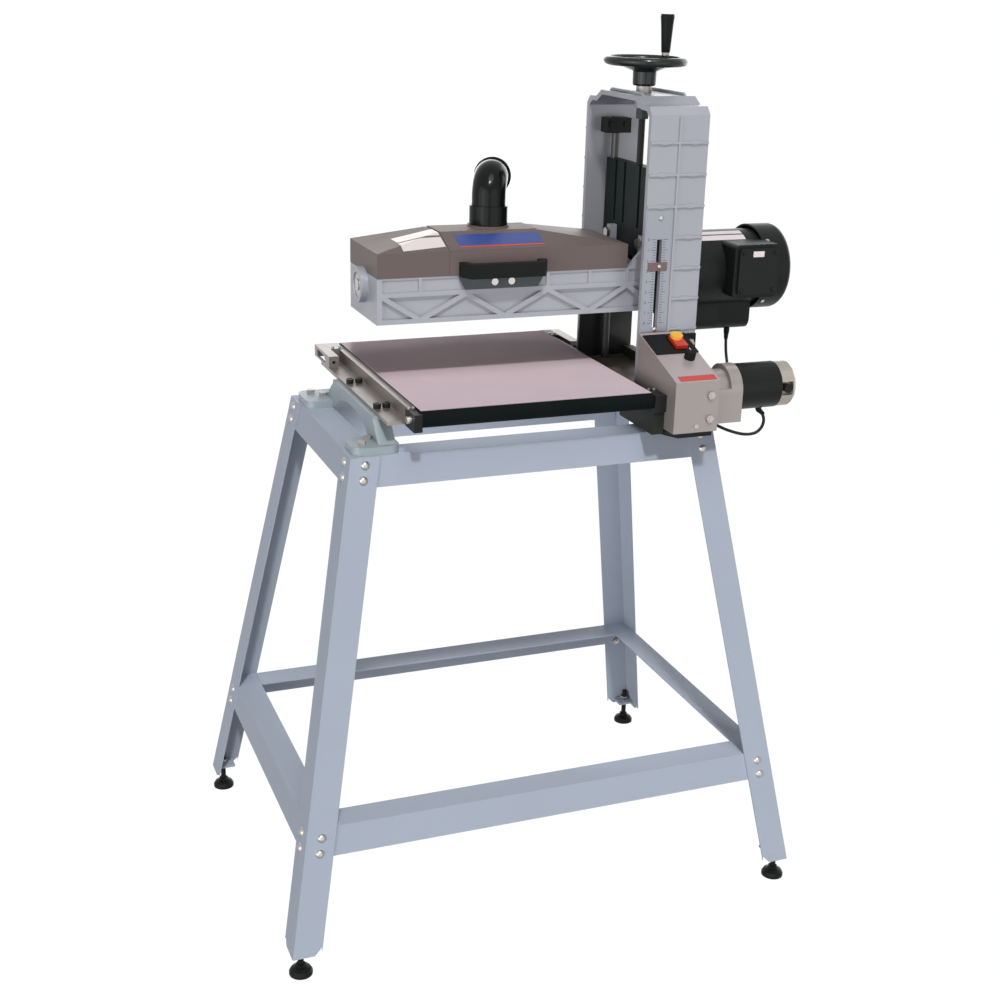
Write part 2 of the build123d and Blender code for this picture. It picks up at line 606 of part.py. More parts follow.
def cord(route):
    """Tube of straight runs joined by tangent arcs, as large as the runs allow."""
    points = [Vector(*p) for p in route]
    runs = [b - a for a, b in zip(points, points[1:])]
    radii = []
    for before, after in zip(runs, runs[1:]):
        turn = math.radians(before.get_angle(after))
        radii.append(0.45 * min(before.length, after.length) / math.tan(turn / 2))
    path = FilletPolyline(*route, radius=radii)
    section = Plane(origin=points[0], z_dir=runs[0]) * Circle(CORD_D / 2)
    tube = sweep(section, path=path)
    area = math.pi * CORD_D**2 / 4
    print("cord length", round(path.length, 1), "radii", [round(r, 1) for r in radii],
          "volume ratio", round(tube.volume / (area * path.length), 4))
    return tube


# ---------------------------------------------------------------- head
ARM_BOLTS = [(-64.0, 1156.0), (64.0, 1156.0), (-54.0, 1060.0), (54.0, 1060.0)]
LATCH_SCREW_X, LATCH_SCREW_Z = (-43.0, -13.0), 1106.0


def truss_wall(side):
    """Wall of the head, side -1 front or +1 rear: pockets leave chords and diagonals proud."""
    face = side * HEAD_Y

    def layer(depth):
        return sorted((face + side, face - side * depth))

    body = block(HEAD_X0, HEAD_X1, *sorted((face, face - side * HEAD_WALL)), HEAD_Z0, HEAD_Z1)
    chord_z, low_z, rib = 1090.0, 1049.0, 8.0
    nodes = [-238.0, -172.0, -92.0, -22.0, 56.0, 134.0, 205.0]
    pocket = block(HEAD_X0 + 9, HEAD_X1 - 3, *layer(7.0), low_z, chord_z - rib / 2)
    up = True
    for a, b in zip(nodes, nodes[1:]):
        z_a, z_b = (chord_z - 3, low_z - 3) if up else (low_z - 3, chord_z - 3)
        across = rib / 2 / math.cos(math.atan2(chord_z - low_z, b - a))
        diagonal = [(a, z_a - across), (b, z_b - across), (b, z_b + across), (a, z_a + across)]
        pocket -= prism_y(diagonal, *layer(8.0))
        up = not up
    pocket -= prism_y([(205, 1094), (246, 1064), (246, 1054), (205, 1083)], *layer(8.0))
    band = block(HEAD_X0 + 9, HEAD_X1 - 3, *layer(3.0), chord_z + rib / 2, HEAD_Z1 - 3)
    for x in (-172, -92, 56, 134, 205):
        band -= block(x - 3, x + 3, *layer(8.0), chord_z, HEAD_Z1)
    return body - pocket - band


def head_casting():
    body = truss_wall(-1) + truss_wall(1)
    inner = HEAD_Y - HEAD_WALL
    body += block(HEAD_X0, HEAD_X0 + 12, -inner, inner, HEAD_Z0, HEAD_Z1)
    body += block(HEAD_X1 - 12, HEAD_X1, -inner, inner, HEAD_Z0, HEAD_Z1)
    body += rod("x", 0, DRUM_Z, 30.0, HEAD_X0 - 12, HEAD_X0)
    for sign in (-1, 1):
        y0, y1 = sorted((sign * HEAD_Y, sign * (HEAD_Y - 9)))
        body += prism_y([(LID_X1 + 3, HEAD_Z1), (HEAD_X1, HEAD_Z1), (HEAD_X1, 1164)], y0, y1)
        y0, y1 = sorted((sign * 58, sign * 70))
        body += block(232, HEAD_X1, y0, y1, HEAD_Z1, 1170)
    body -= rod("x", 0, DRUM_Z, 21.0, HEAD_X0 - 13, HEAD_X0 + 13)
    body -= rod("x", 0, DRUM_Z, 21.0, HEAD_X1 - 13, HEAD_X1 + 1)
    for y, z in ARM_BOLTS:
        body -= rod("x", y, z, M10, HEAD_X1 - 15, HEAD_X1 + 1)
    for x in LATCH_SCREW_X:
        body -= rod("y", x, LATCH_SCREW_Z, M6, -HEAD_Y - 1, -HEAD_Y + 9)
    return body


def carriage():
    """Slide between the column walls: carries the head on two guide rods and one screw."""
    body = block(HEAD_X1, HEAD_X1 + 20, -114, 114, HEAD_Z0 + 0.5, 1283)
    for y in (-72, -24, 36, 72):
        body -= block(HEAD_X1 - 1, HEAD_X1 + 4, y - 4, y + 4, 1176, 1284)
    for sign in (-1, 1):
        body -= rod("z", SCREW_X, sign * ROD_Y, ROD_R + FIT, 1000, 1300)
    body -= rod("z", SCREW_X, 0, SCREW_R + FIT, 1110, 1300)
    body -= rod("x", 0, DRUM_Z, 30.0, HEAD_X1 - 1, HEAD_X1 + 21)
    for y, z in ARM_BOLTS:
        body -= rod("x", y, z, M10, HEAD_X1 - 1, HEAD_X1 + 21)
    return body


def build_head():
    node("head_casting", head_casting())
    node("carriage", carriage())
    bolts = []
    for y, z in ARM_BOLTS:
        shank = rod("x", y, z, M10, HEAD_X1 - 14, HEAD_X1 + 20)
        bolts.append(shank + hexagon("x", y, z, 9.0, HEAD_X1 - 20, HEAD_X1 - 14))
    for x in LATCH_SCREW_X:
        shank = rod("y", x, LATCH_SCREW_Z, M6, -HEAD_Y - 3, -HEAD_Y + 8)
        bolts.append(shank + rod("y", x, LATCH_SCREW_Z, 6.0, -HEAD_Y - 6, -HEAD_Y - 3))
    node("head_bolts", *bolts)
    races = [ring("x", 0, DRUM_Z, 21.0, 10.0 + FIT, x, x + 12) for x in (HEAD_X0 - 10, HEAD_X1 - 12)]
    node("drum_bearings", *races)
    tip = block(217, 253, -COL_OUT - 3.0, -COL_OUT - 1.6, 1121, 1135)
    arm = block(234, 240, -COL_OUT - 1.7, -115, 1126, 1130)
    node("pointer", tip + arm + block(234, 262, -116.5, -114, 1122, 1134))


def build_drum():
    x0, x1 = -223.0, 183.0
    shell = ring("x", 0, DRUM_Z, DRUM_R, 54.0, x0, x1)
    for x in (x0, x1 - 8):
        shell += ring("x", 0, DRUM_Z, 54.5, 10.0, x, x + 8)
    node("drum", shell)
    node("abrasive_wrap", ring("x", 0, DRUM_Z, DRUM_R + WRAP_T, DRUM_R, x0, x1))
    node("drum_shaft", rod("x", 0, DRUM_Z, 10.0, HEAD_X0 - 11.5, 302))
    coupling = rod("x", 0, DRUM_Z, 24.0, 272, 326) - rod("x", 0, DRUM_Z, 10.0, 271, 302)
    coupling -= rod("x", 0, DRUM_Z, 9.0, 302, 330)
    node("coupling", coupling)
    rotor = rod("x", 0, DRUM_Z, 9.0, 302, 506) + rod("x", 0, DRUM_Z, 38.0, 362, 452)
    fan = ring("x", 0, DRUM_Z, 20.0, 9.0, 492, 506)
    for k in range(8):
        fan += Pos(499, 0, DRUM_Z) * Rot(45 * k, 0, 0) * Pos(0, 0, 38) * Box(12, 3, 40)
    node("motor_rotor", rotor, fan)


def build_motor():
    adapter = ring("x", 0, DRUM_Z, 62.0, 40.0, HEAD_X1 + 20, MOTOR_X0)
    adapter -= block(284, 316, -20, 20, DRUM_Z + 30, DRUM_Z + 70)
    node("motor_adapter", adapter)
    body = rod("x", 0, DRUM_Z, MOTOR_R, MOTOR_X0, MOTOR_END)
    body -= rod("x", 0, DRUM_Z, 62.0, 340, MOTOR_END - 10)
    body -= rod("x", 0, DRUM_Z, 9.0 + FIT, MOTOR_X0 - 1, MOTOR_END + 1)
    node("motor_housing", body)
    node("motor_stator", ring("x", 0, DRUM_Z, 62.0, 38.6, 368, 446))
    cover = rod("x", 0, DRUM_Z, 77.0, MOTOR_END - 2, 540)
    cover = fillet(cover.edges().filter_by(GeomType.CIRCLE).sort_by(Axis.X)[-1], 14)
    cover -= rod("x", 0, DRUM_Z, 74.0, MOTOR_END - 3, 526)
    cover -= rod("x", 0, DRUM_Z, MOTOR_R, MOTOR_END - 3, MOTOR_END)
    for radius in (22, 36, 50):
        for k in range(12):
            angle = math.radians(30 * k + (15 if radius == 36 else 0))
            y, z = radius * math.cos(angle), DRUM_Z + radius * math.sin(angle)
            cover -= rod("x", y, z, 4.0, 520, 545)
    node("fan_cover", cover)
    box = block(405, 497, -98, -40, 1057, 1152)
    box = fillet(box.edges().filter_by(Axis.Y), 9)
    box -= rod("x", 0, DRUM_Z, MOTOR_R, 400, 486)
    box -= rod("x", 0, DRUM_Z, 77.0, MOTOR_END - 2, 500)
    lid = fillet(block(412, 490, -104, -98, 1064, 1146).edges().filter_by(Axis.Y), 6)
    node("junction_box", box, lid)
    housing = block(336, 480, -36, 36, 985, 1045)
    housing = fillet(housing.edges().filter_by(Axis.X).group_by(Axis.Z)[0], 20)
    housing -= rod("x", 0, DRUM_Z, MOTOR_R, 330, 500)
    node("capacitor_cover", housing, rod("z", 444, -20, 5.5, 979, 985))


# ---------------------------------------------------------------- dust cover
HINGE_Y, HINGE_Z = 84.0, 1121.0
HINGE_X = (-190.0, 120.0)
PORT_X, PORT_Y, PORT_BORE = -18.0, 20.0, 26.5


def lid_solid(inset, raise_by=0.0):
    """Hipped lid outline, inset all round: straight walls under a low hipped roof."""
    low = (HEAD_X0 + inset, LID_X1 - inset, -80 + inset, 80 - inset)
    ridge = (HEAD_X0 + 118, LID_X1 - 150, -26 + inset / 2, 40 - inset / 2)
    eave, top = LID_Z1 - inset + raise_by, LID_Z2 - inset + raise_by
    walls = frustum(HEAD_Z1 - (1 if inset else 0), low, eave, low)
    return walls + frustum(eave, low, top, ridge)


def dust_cover():
    """Sheet cover with a raised middle band, a spigot for the dust elbow and hinge cut-outs."""
    body = lid_solid(0) + (lid_solid(0, 1.6) & block(-122, 52, -90, 90, HEAD_Z1, 1190))
    body += block(-122, 52, -81.5, -79, HEAD_Z1 + 0.5, LID_Z1)
    body += rod("z", PORT_X, PORT_Y, 36.0, LID_Z2 - 1, LID_Z2 + 4)
    body += rod("z", PORT_X, PORT_Y, 29.9, LID_Z2, 1212)
    body -= lid_solid(LID_T)
    body -= rod("z", PORT_X, PORT_Y, PORT_BORE, 1170, 1220)
    for x in HINGE_X:
        body -= block(x - 23, x + 23, 78, 90, HEAD_Z1 - 1, HINGE_Z + 5)
    return body


def dust_elbow():
    """Tight elbow with a socket collar below and a hose collar at its outlet."""
    outer, bend, low = 29.5, 31.0, 1214.0
    high = 1261.5
    spine = FilletPolyline((0, 0, low), (0, 0, high), (0, bend + 26, high), radius=bend)
    start = Plane(origin=(0, 0, low), z_dir=(0, 0, 1))
    body = sweep(start * Circle(outer), path=spine) - sweep(start * Circle(PORT_BORE), path=spine)
    body += ring("z", 0, 0, 33.5, 29.9 + FIT, LID_Z2 + 5, low)
    body += ring("z", 0, 0, 33.5, PORT_BORE, low - 1.5, low + 4)
    body += ring("y", 0, high, 32.5, PORT_BORE, bend + 14, bend + 26)
    return Pos(PORT_X, PORT_Y, 0) * Rot(0, 0, -28) * body


def build_cover():
    node("dust_cover", dust_cover())
    node("dust_elbow", dust_elbow())
    grip = [(-106, -81.5), (-106, -92), (-94, -113), (36, -113), (48, -92), (48, -81.5),
            (34, -81.5), (34, -90), (29, -99), (-87, -99), (-92, -90), (-92, -81.5)]
    node("cover_handle", prism_z(grip, 1117, 1141))
    latch = [(-106, 1116.5), (48, 1116.5), (36, 1094), (-94, 1094)]
    plate = prism_y(latch, -HEAD_Y - 3, -HEAD_Y)
    for x in LATCH_SCREW_X:
        plate -= rod("y", x, LATCH_SCREW_Z, M6, -HEAD_Y - 4, -HEAD_Y + 1)
    fixed, moving = [plate], []
    for x in HINGE_X:
        bore = rod("x", HINGE_Y, HINGE_Z, 2.0, x - 30, x + 30)
        for a, b in ((-20, -7), (7, 20)):
            leaf = block(x + a, x + b, HEAD_Y, HEAD_Y + 3, 1096, HINGE_Z)
            fixed.append(leaf + rod("x", HINGE_Y, HINGE_Z, 4.2, x + a, x + b) - bore)
        fixed.append(rod("x", HINGE_Y, HINGE_Z, 2.0, x - 20, x + 20))
        leaf = block(x - 6.6, x + 6.6, 80, 83, HINGE_Z, 1148)
        leaf += rod("x", HINGE_Y, HINGE_Z, 4.2, x - 6.6, x + 6.6)
        moving.append(leaf - rod("x", HINGE_Y, HINGE_Z, 2.0 + FIT, x - 30, x + 30))
    node("cover_hardware", *fixed)
    node("hinge_moving", *moving)


# ---------------------------------------------------------------- build and write
def main():
    build_stand()
    node("arch_bracket", arch_bracket())
    node("base_casting", base_casting())
    bolts = arch_bolts() + base_bolts() + column_bolts()
    bolts += build_column()
    build_crank()
    bolts += build_conveyor()
    bolts += build_controls()
    node("machine_bolts", *bolts)
    build_feed_drive()
    node("feed_motor_lead", cord(FEED_LEAD))
    node("motor_lead", cord(MOTOR_LEAD))
    build_head()
    build_drum()
    build_motor()
    build_cover()
    os.makedirs("parts", exist_ok=True)
    for name, shape in PARTS.items():
        export_step(shape, f"parts/{name}.step")
    print(len(PARTS), "nodes written")


main()
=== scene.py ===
import json
import math

import bmesh
import bpy
from mathutils import Matrix, Vector


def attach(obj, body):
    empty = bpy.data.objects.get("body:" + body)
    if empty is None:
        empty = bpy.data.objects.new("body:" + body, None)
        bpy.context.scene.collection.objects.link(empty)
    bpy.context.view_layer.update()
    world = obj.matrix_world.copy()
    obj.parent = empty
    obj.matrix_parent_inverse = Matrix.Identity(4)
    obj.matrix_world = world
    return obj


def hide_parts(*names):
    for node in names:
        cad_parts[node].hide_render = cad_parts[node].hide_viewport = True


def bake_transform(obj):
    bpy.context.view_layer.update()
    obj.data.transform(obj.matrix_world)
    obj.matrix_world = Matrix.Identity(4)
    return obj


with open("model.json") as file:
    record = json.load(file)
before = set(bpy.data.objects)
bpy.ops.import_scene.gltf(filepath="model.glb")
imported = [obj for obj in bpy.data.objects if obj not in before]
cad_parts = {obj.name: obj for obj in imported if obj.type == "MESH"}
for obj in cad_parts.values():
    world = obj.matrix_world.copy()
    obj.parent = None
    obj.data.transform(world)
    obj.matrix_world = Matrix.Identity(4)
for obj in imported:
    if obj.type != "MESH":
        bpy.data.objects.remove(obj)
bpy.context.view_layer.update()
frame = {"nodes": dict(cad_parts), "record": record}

NODES = frame["nodes"]
ORIGIN_X = 32.6  # mm from the middle of the stand to the frame's origin
MM = 0.001


def at(x, y, z):
    """A point in metres from millimetres measured from the middle of the stand."""
    return Vector(((x - ORIGIN_X) * MM, y * MM, z * MM))


# ---------------------------------------------------------------- camera and light
CAMERA_AT = at(-944.1, -2404.9, 1592.5)
LOOK_AT = at(10.4, 0, 684.7)
CAMERA_ROLL = math.radians(1.59)
LENS, SENSOR = 54.0, 36.0  # mm
SKY_STRENGTH = 1.02


def build_camera():
    data = bpy.data.cameras.new("camera")
    data.lens = LENS
    data.sensor_width = SENSOR
    data.clip_end = 50.0
    camera = bpy.data.objects.new("camera", data)
    forward = (LOOK_AT - CAMERA_AT).normalized()
    level = forward.cross(Vector((0, 0, 1))).normalized()
    upright = level.cross(forward)
    right = level * math.cos(CAMERA_ROLL) + upright * math.sin(CAMERA_ROLL)
    up = right.cross(forward)
    turn = Matrix((right, up, -forward)).transposed().to_4x4()
    camera.matrix_world = Matrix.Translation(CAMERA_AT) @ turn
    bpy.context.collection.objects.link(camera)
    bpy.context.scene.camera = camera


# direction the light comes from, strength, angular size in degrees
SUNS = {
    "key": ((-0.17, -0.63, 0.755), 1.75, 4),
    "front_fill": ((0.3, -1.0, 0.0), 0.6, 50),
    "left_fill": ((-1.0, -0.35, 0.02), 1.0, 50),
    "corner_fill": ((-1.0, -1.0, 0.02), 0.95, 50),
    "top_fill": ((0.0, -0.5, 0.87), 1.0, 30),
    "right_fill": ((1.0, 0.5, 0.1), 0.9, 50),
    "back_fill": ((0.3, 1.0, 0.0), 1.1, 50),
    "low_fill": ((0.0, -0.3, -1.0), 0.3, 100),
}
# position and aim in mm, size in m, power: small panels that soften the shade under the machine
PANELS = {
    "under_bed": ((-30, -20, 900), (-30, -20, 0), (0.42, 0.40), 0.55),
    "in_stand": ((-80, -60, 560), (330, 330, 480), (0.50, 0.40), 0.9),
}


def build_light():
    """A white surround that lights no matt surface, so the suns and the panels set the shading."""
    scene = bpy.context.scene
    scene.view_settings.view_transform = "Standard"
    world = bpy.data.worlds.new("studio")
    world.use_nodes = True
    sky = world.node_tree.nodes["Background"]
    sky.inputs["Color"].default_value = (1.0, 1.0, 1.0, 1.0)
    sky.inputs["Strength"].default_value = SKY_STRENGTH
    scene.world = world
    world.cycles_visibility.diffuse = False
    for name, (source, strength, size) in SUNS.items():
        light = bpy.data.lights.new(name, "SUN")
        light.energy = strength
        light.angle = math.radians(size)
        sun = bpy.data.objects.new(name, light)
        sun.rotation_euler = Vector(source).to_track_quat("Z", "Y").to_euler()
        sun.location = Vector(source) * 3
        bpy.context.collection.objects.link(sun)
    for name, (place, target, size, power) in PANELS.items():
        light = bpy.data.lights.new(name, "AREA")
        light.shape = "RECTANGLE"
        light.size, light.size_y = size
        light.energy = power
        panel = bpy.data.objects.new(name, light)
        panel.location = at(*place)
        panel.rotation_euler = (at(*target) - at(*place)).to_track_quat("-Z", "Y").to_euler()
        panel.visible_camera = False
        panel.visible_glossy = False
        bpy.context.collection.objects.link(panel)


# ---------------------------------------------------------------- materials
class Shade:
    """A node-based material: tone mottling, fine grain, roughness variation and bump."""

    def __init__(self, name, color, rough=0.5, metal=0.0, mottle=0.10, spots=9.0, grain=900.0,
                 bump=0.12, depth=0.0002, stretch=(1, 1, 1), coat=0.0, specular=0.5):
        self.material = bpy.data.materials.new(name)
        self.material.use_nodes = True
        self.tree = self.material.node_tree
        self.surface = self.tree.nodes["Principled BSDF"]
        self.surface.inputs["Metallic"].default_value = metal
        self.surface.inputs["Coat Weight"].default_value = coat
        self.surface.inputs["Coat Roughness"].default_value = 0.12
        self.surface.inputs["Specular IOR Level"].default_value = specular
        place = self.node("ShaderNodeTexCoord")
        spread = self.node("ShaderNodeMapping")
        spread.inputs["Scale"].default_value = stretch
        self.link(place.outputs["Object"], spread.inputs["Vector"])
        self.place = place.outputs["Object"]
        cloud = self.noise(spots, 4.0, self.place)
        self.fine = fine = self.noise(grain, 3.0, spread.outputs["Vector"])
        dark = [c * (1 - mottle) for c in color]
        light = [min(1.0, c * (1 + mottle)) for c in color]
        self.color = self.mix(cloud, dark, light)
        self.color = self.mix(self.scaled(fine, 0.3, 0.7, 0.0, mottle), self.color,
                              [min(1.0, c * 1.3) for c in color])
        self.link(self.color, self.surface.inputs["Base Color"])
        self.link(self.scaled(cloud, 0.25, 0.75, rough * 0.85, min(1.0, rough * 1.15)),
                  self.surface.inputs["Roughness"])
        self.relief = self.node("ShaderNodeBump")
        self.relief.inputs["Strength"].default_value = bump
        self.relief.inputs["Distance"].default_value = depth
        self.link(fine, self.relief.inputs["Height"])
        self.link(self.relief.outputs["Normal"], self.surface.inputs["Normal"])

    # small helpers to make and join shader nodes
    def node(self, kind):
        return self.tree.nodes.new(kind)

    def link(self, a, b):
        self.tree.links.new(a, b)

    def noise(self, scale, detail, vector):
        n = self.node("ShaderNodeTexNoise")
        n.inputs["Scale"].default_value = scale
        n.inputs["Detail"].default_value = detail
        self.link(vector, n.inputs["Vector"])
        return n.outputs["Fac"]

    def scaled(self, value, low, high, to_low, to_high):
        n = self.node("ShaderNodeMapRange")
        ends = {"From Min": low, "From Max": high, "To Min": to_low, "To Max": to_high}
        for key, number in ends.items():
            n.inputs[key].default_value = number
        self.link(value, n.inputs["Value"])
        return n.outputs["Result"]

    def math(self, operation, a, b, c=0.0):
        n = self.node("ShaderNodeMath")
        n.operation = operation
        for socket, value in zip(n.inputs, (a, b, c)):
            if isinstance(value, (int, float)):
                socket.default_value = value
            else:
                self.link(value, socket)
        return n.outputs["Value"]

    def mix(self, factor, a, b):
        n = self.node("ShaderNodeMix")
        n.data_type = "RGBA"
        self.link(factor, n.inputs["Factor"])
        for socket, value in ((n.inputs["A"], a), (n.inputs["B"], b)):
            if isinstance(value, (list, tuple)):
                socket.default_value = (*value[:3], 1.0)
            else:
                self.link(value, socket)
        return n.outputs["Result"]

    def recolor(self, factor, color):
        """Lays a second colour over the first where factor is 1."""
        self.color = self.mix(factor, self.color, color)
        self.link(self.color, self.surface.inputs["Base Color"])
        return self

    def inside(self, low, high):
        """1 inside a box given in metres, 0 outside."""
        split = self.node("ShaderNodeSeparateXYZ")
        self.link(self.place, split.inputs["Vector"])
        result = 1.0
        for axis in range(3):
            middle, half = (low[axis] + high[axis]) / 2, (high[axis] - low[axis]) / 2
            within = self.math("COMPARE", split.outputs[axis], middle, half)
            result = self.math("MULTIPLY", within, result)
        return result

    def facing_up(self, start, end):
        """0 where the surface's normal rises less than start, 1 where it rises more than end."""
        shape = self.node("ShaderNodeNewGeometry")
        split = self.node("ShaderNodeSeparateXYZ")
        self.link(shape.outputs["Normal"], split.inputs["Vector"])
        return self.scaled(split.outputs["Z"], start, end, 0.0, 1.0)


def hammered(name, color, rough=0.5, cell=260.0, strength=0.35, **more):
    """Painted casting: a pebbled skin over the paint's own grain."""
    shade = Shade(name, color, rough=rough, **more)
    cells = shade.node("ShaderNodeTexVoronoi")
    cells.feature = "SMOOTH_F1"
    cells.inputs["Scale"].default_value = cell
    shade.link(shade.place, cells.inputs["Vector"])
    total = shade.math("ADD", shade.math("MULTIPLY", cells.outputs["Distance"], 0.8), shade.fine)
    shade.link(total, shade.relief.inputs["Height"])
    shade.relief.inputs["Strength"].default_value = strength
    return shade


BLACK = (0.012, 0.013, 0.012)
ZINC = (0.36, 0.34, 0.32)
BELL = (0.33, 0.30, 0.265)

# colour and finish of each painted casting: a pebbled skin
CASTINGS = {
    "silver_cast": ((0.315, 0.322, 0.36), dict(rough=0.42, metal=0.2, coat=0.15, specular=0.3)),
    "green_cast": ((0.25, 0.30, 0.325), dict(rough=0.45, metal=0.1, mottle=0.18)),
    "black_cast": ((0.016, 0.018, 0.015), dict(rough=0.5, mottle=0.3, specular=0.12)),
    "dark_cast": ((0.008, 0.013, 0.013), dict(rough=0.5, mottle=0.3, specular=0.1)),
    "cover_paint": ((0.122, 0.095, 0.089), dict(
        rough=0.5, cell=520.0, strength=0.16, mottle=0.06, spots=4.0, specular=0.25)),
    "box_paint": ((0.265, 0.235, 0.222), dict(
        rough=0.38, cell=420.0, strength=0.2, mottle=0.08, metal=0.3, coat=0.15)),
    "motor_paint": ((0.008, 0.010, 0.009), dict(
        rough=0.4, cell=380.0, strength=0.2, mottle=0.2, specular=0.12)),
}
# colour and finish of everything else
FINISHES = {
    "stand_paint": ((0.345, 0.385, 0.46), dict(
        rough=0.5, mottle=0.04, spots=5.0, grain=1500.0, bump=0.10, specular=0.08)),
    "zinc": (ZINC, dict(metal=1.0, rough=0.32, mottle=0.08, grain=700.0, bump=0.08)),
    "wheel": ((0.006, 0.009, 0.009), dict(rough=0.22, mottle=0.2, spots=20.0, specular=0.3)),
    "black_steel": ((0.008, 0.009, 0.009), dict(rough=0.45, mottle=0.2, specular=0.1)),
    "black_plastic": ((0.008, 0.009, 0.009), dict(
        rough=0.45, mottle=0.25, grain=2600.0, bump=0.25, depth=0.0001, specular=0.08)),
    "elbow_plastic": ((0.005, 0.006, 0.006), dict(
        rough=0.18, mottle=0.2, spots=4.0, grain=60.0, bump=0.05, specular=0.12)),
    "belt": ((0.62, 0.505, 0.55), dict(
        rough=0.85, mottle=0.06, spots=14.0, grain=2200.0, bump=0.9, depth=0.0004, specular=0.08)),
    "abrasive": ((0.25, 0.12, 0.07), dict(
        rough=0.9, mottle=0.2, grain=2400.0, bump=1.0, depth=0.0004)),
    "steel": ((0.40, 0.385, 0.38), dict(
        metal=1.0, rough=0.3, mottle=0.06, grain=300.0, stretch=(1, 12, 12), bump=0.12)),
    "aluminium": ((0.23, 0.205, 0.195), dict(
        metal=0.8, rough=0.4, mottle=0.14, grain=260.0, stretch=(12, 1, 12), bump=0.15)),
    "winding": ((0.20, 0.13, 0.09), dict(rough=0.6, mottle=0.2)),
    "bell": (BELL, dict(metal=0.6, rough=0.42, mottle=0.15, grain=500.0, bump=0.3)),
    "yellow_key": ((0.80, 0.42, 0.05), dict(rough=0.3, mottle=0.06, coat=0.3)),
    "red_paddle": ((0.50, 0.03, 0.015), dict(rough=0.3, mottle=0.06, coat=0.3)),
    "scale": ((0.27, 0.29, 0.33), dict(metal=0.2, rough=0.4, mottle=0.06)),
    "lead": ((0.008, 0.008, 0.008), dict(
        rough=0.5, mottle=0.2, grain=1800.0, bump=0.2, specular=0.2)),
    "red_pointer": ((0.13, 0.075, 0.075), dict(rough=0.4, mottle=0.1)),
    "thread": ((0.045, 0.045, 0.045), dict(metal=0.6, rough=0.4, mottle=0.1)),
    "label_white": ((0.72, 0.64, 0.64), dict(rough=0.35, mottle=0.04, spots=30.0)),
    "label_blue": ((0.020, 0.050, 0.23), dict(rough=0.35, mottle=0.05, spots=30.0)),
    "label_red": ((0.50, 0.05, 0.04), dict(rough=0.35, mottle=0.08, spots=60.0)),
    "ink": ((0.05, 0.05, 0.06), dict(rough=0.6, mottle=0.1)),
}
# painted shade: near black laid on every belt face that does not face up, for the front wrap turned
# away from the light
BELT_SIDE_SHADE = (0.003, 0.005, 0.005)
# painted light: a lighter brown laid on the up-facing tops of the black castings, where the light
# falls
CAST_TOP_LIGHT = (0.13, 0.11, 0.085)
# painted light: a lighter colour laid on the control box's up-facing top, where the light falls
BOX_TOP_LIGHT = (0.42, 0.36, 0.365)
THREAD_BANDS = 200.0


def add_thread(shade):
    """Turns of a screw, as bands across the rod."""
    wave = shade.node("ShaderNodeTexWave")
    wave.bands_direction = "Z"
    wave.inputs["Scale"].default_value = THREAD_BANDS
    shade.link(shade.place, wave.inputs["Vector"])
    shade.link(wave.outputs["Fac"], shade.relief.inputs["Height"])
    shade.relief.inputs["Strength"].default_value = 0.9
    shade.relief.inputs["Distance"].default_value = 0.0008


def make_shades():
    shades = {name: hammered(name, color, **more) for name, (color, more) in CASTINGS.items()}
    shades.update({name: Shade(name, color, **more) for name, (color, more) in FINISHES.items()})
    add_thread(shades["thread"])
    belt, cast, box = shades["belt"], shades["black_cast"], shades["box_paint"]
    # painted shade: the belt's sides and front wrap, which face away from the light, take the
    # near-black colour
    belt.recolor(belt.scaled(belt.facing_up(0.96, 0.995), 0.0, 1.0, 1.0, 0.0), BELT_SIDE_SHADE)
    # painted light: the black castings' up-facing tops take a lighter brown, as if lit from above
    cast.recolor(cast.facing_up(0.9, 0.99), CAST_TOP_LIGHT)
    # painted light: the control box's up-facing top takes a lighter colour, as if lit from above
    box.recolor(box.facing_up(0.85, 0.93), BOX_TOP_LIGHT)
    return shades


SHADES = make_shades()


# nodes holding pieces of two colours: metal colour, dull colour (a painted shade for the cover's
# latch plate), and the boxes where the dull one shows, each as two opposite corners in mm
ZONES = {
    "roller_blocks": ((0.26, 0.245, 0.24), BLACK, [
        ((150, -260, 890), (230, 260, 950)), ((-240, -260, 890), (-220, -200, 950))]),
    "guide_rods": ((0.05, 0.05, 0.05), BLACK, [((233, -125, 1327), (282, 125, 1355))]),
    "feed_motor_end_bell": (BELL, BLACK, [
        ((429, -260, 923), (445, -246.2, 939)), ((429, -189.8, 923), (445, -170, 939))]),
    "machine_bolts": (ZINC, BLACK, [
        ((-270, -130, 886), (-230, 50, 923)), ((234, -95, 1333), (280, 95, 1353))]),
    "crank_hardware": (ZINC, (0.07, 0.085, 0.095), [((240, -20, 1355), (272, 20, 1383))]),
    # painted shade: the zinc latch plate under the handle is coloured dark grey for the handle's
    # shadow
    "cover_hardware": (ZINC, (0.10, 0.115, 0.125), [((-110, -84, 1090), (52, -76, 1118))]),
}
COLUMN_BACK_SHADE = ((205, 108, 855), (330, 124, 1045))  # painted shade: the rear wall's inner face is coloured black below the head, where the head's shadow falls


def zoned(name, base, second, boxes):
    """A metal finish with a dull second colour inside some boxes, for pieces sharing a node; on the
    cover's latch plate that colour is painted shade.
    """
    shade = Shade(name, base, rough=0.4, metal=0.6, mottle=0.12)
    zone = 0.0
    for low, high in boxes:
        zone = shade.math("ADD", shade.inside(at(*low), at(*high)), zone)
    shade.recolor(zone, second)
    shade.link(shade.scaled(zone, 0.0, 1.0, 0.6, 0.0), shade.surface.inputs["Metallic"])
    shade.link(shade.scaled(zone, 0.0, 1.0, 0.5, 0.1), shade.surface.inputs["Specular IOR Level"])
    return shade


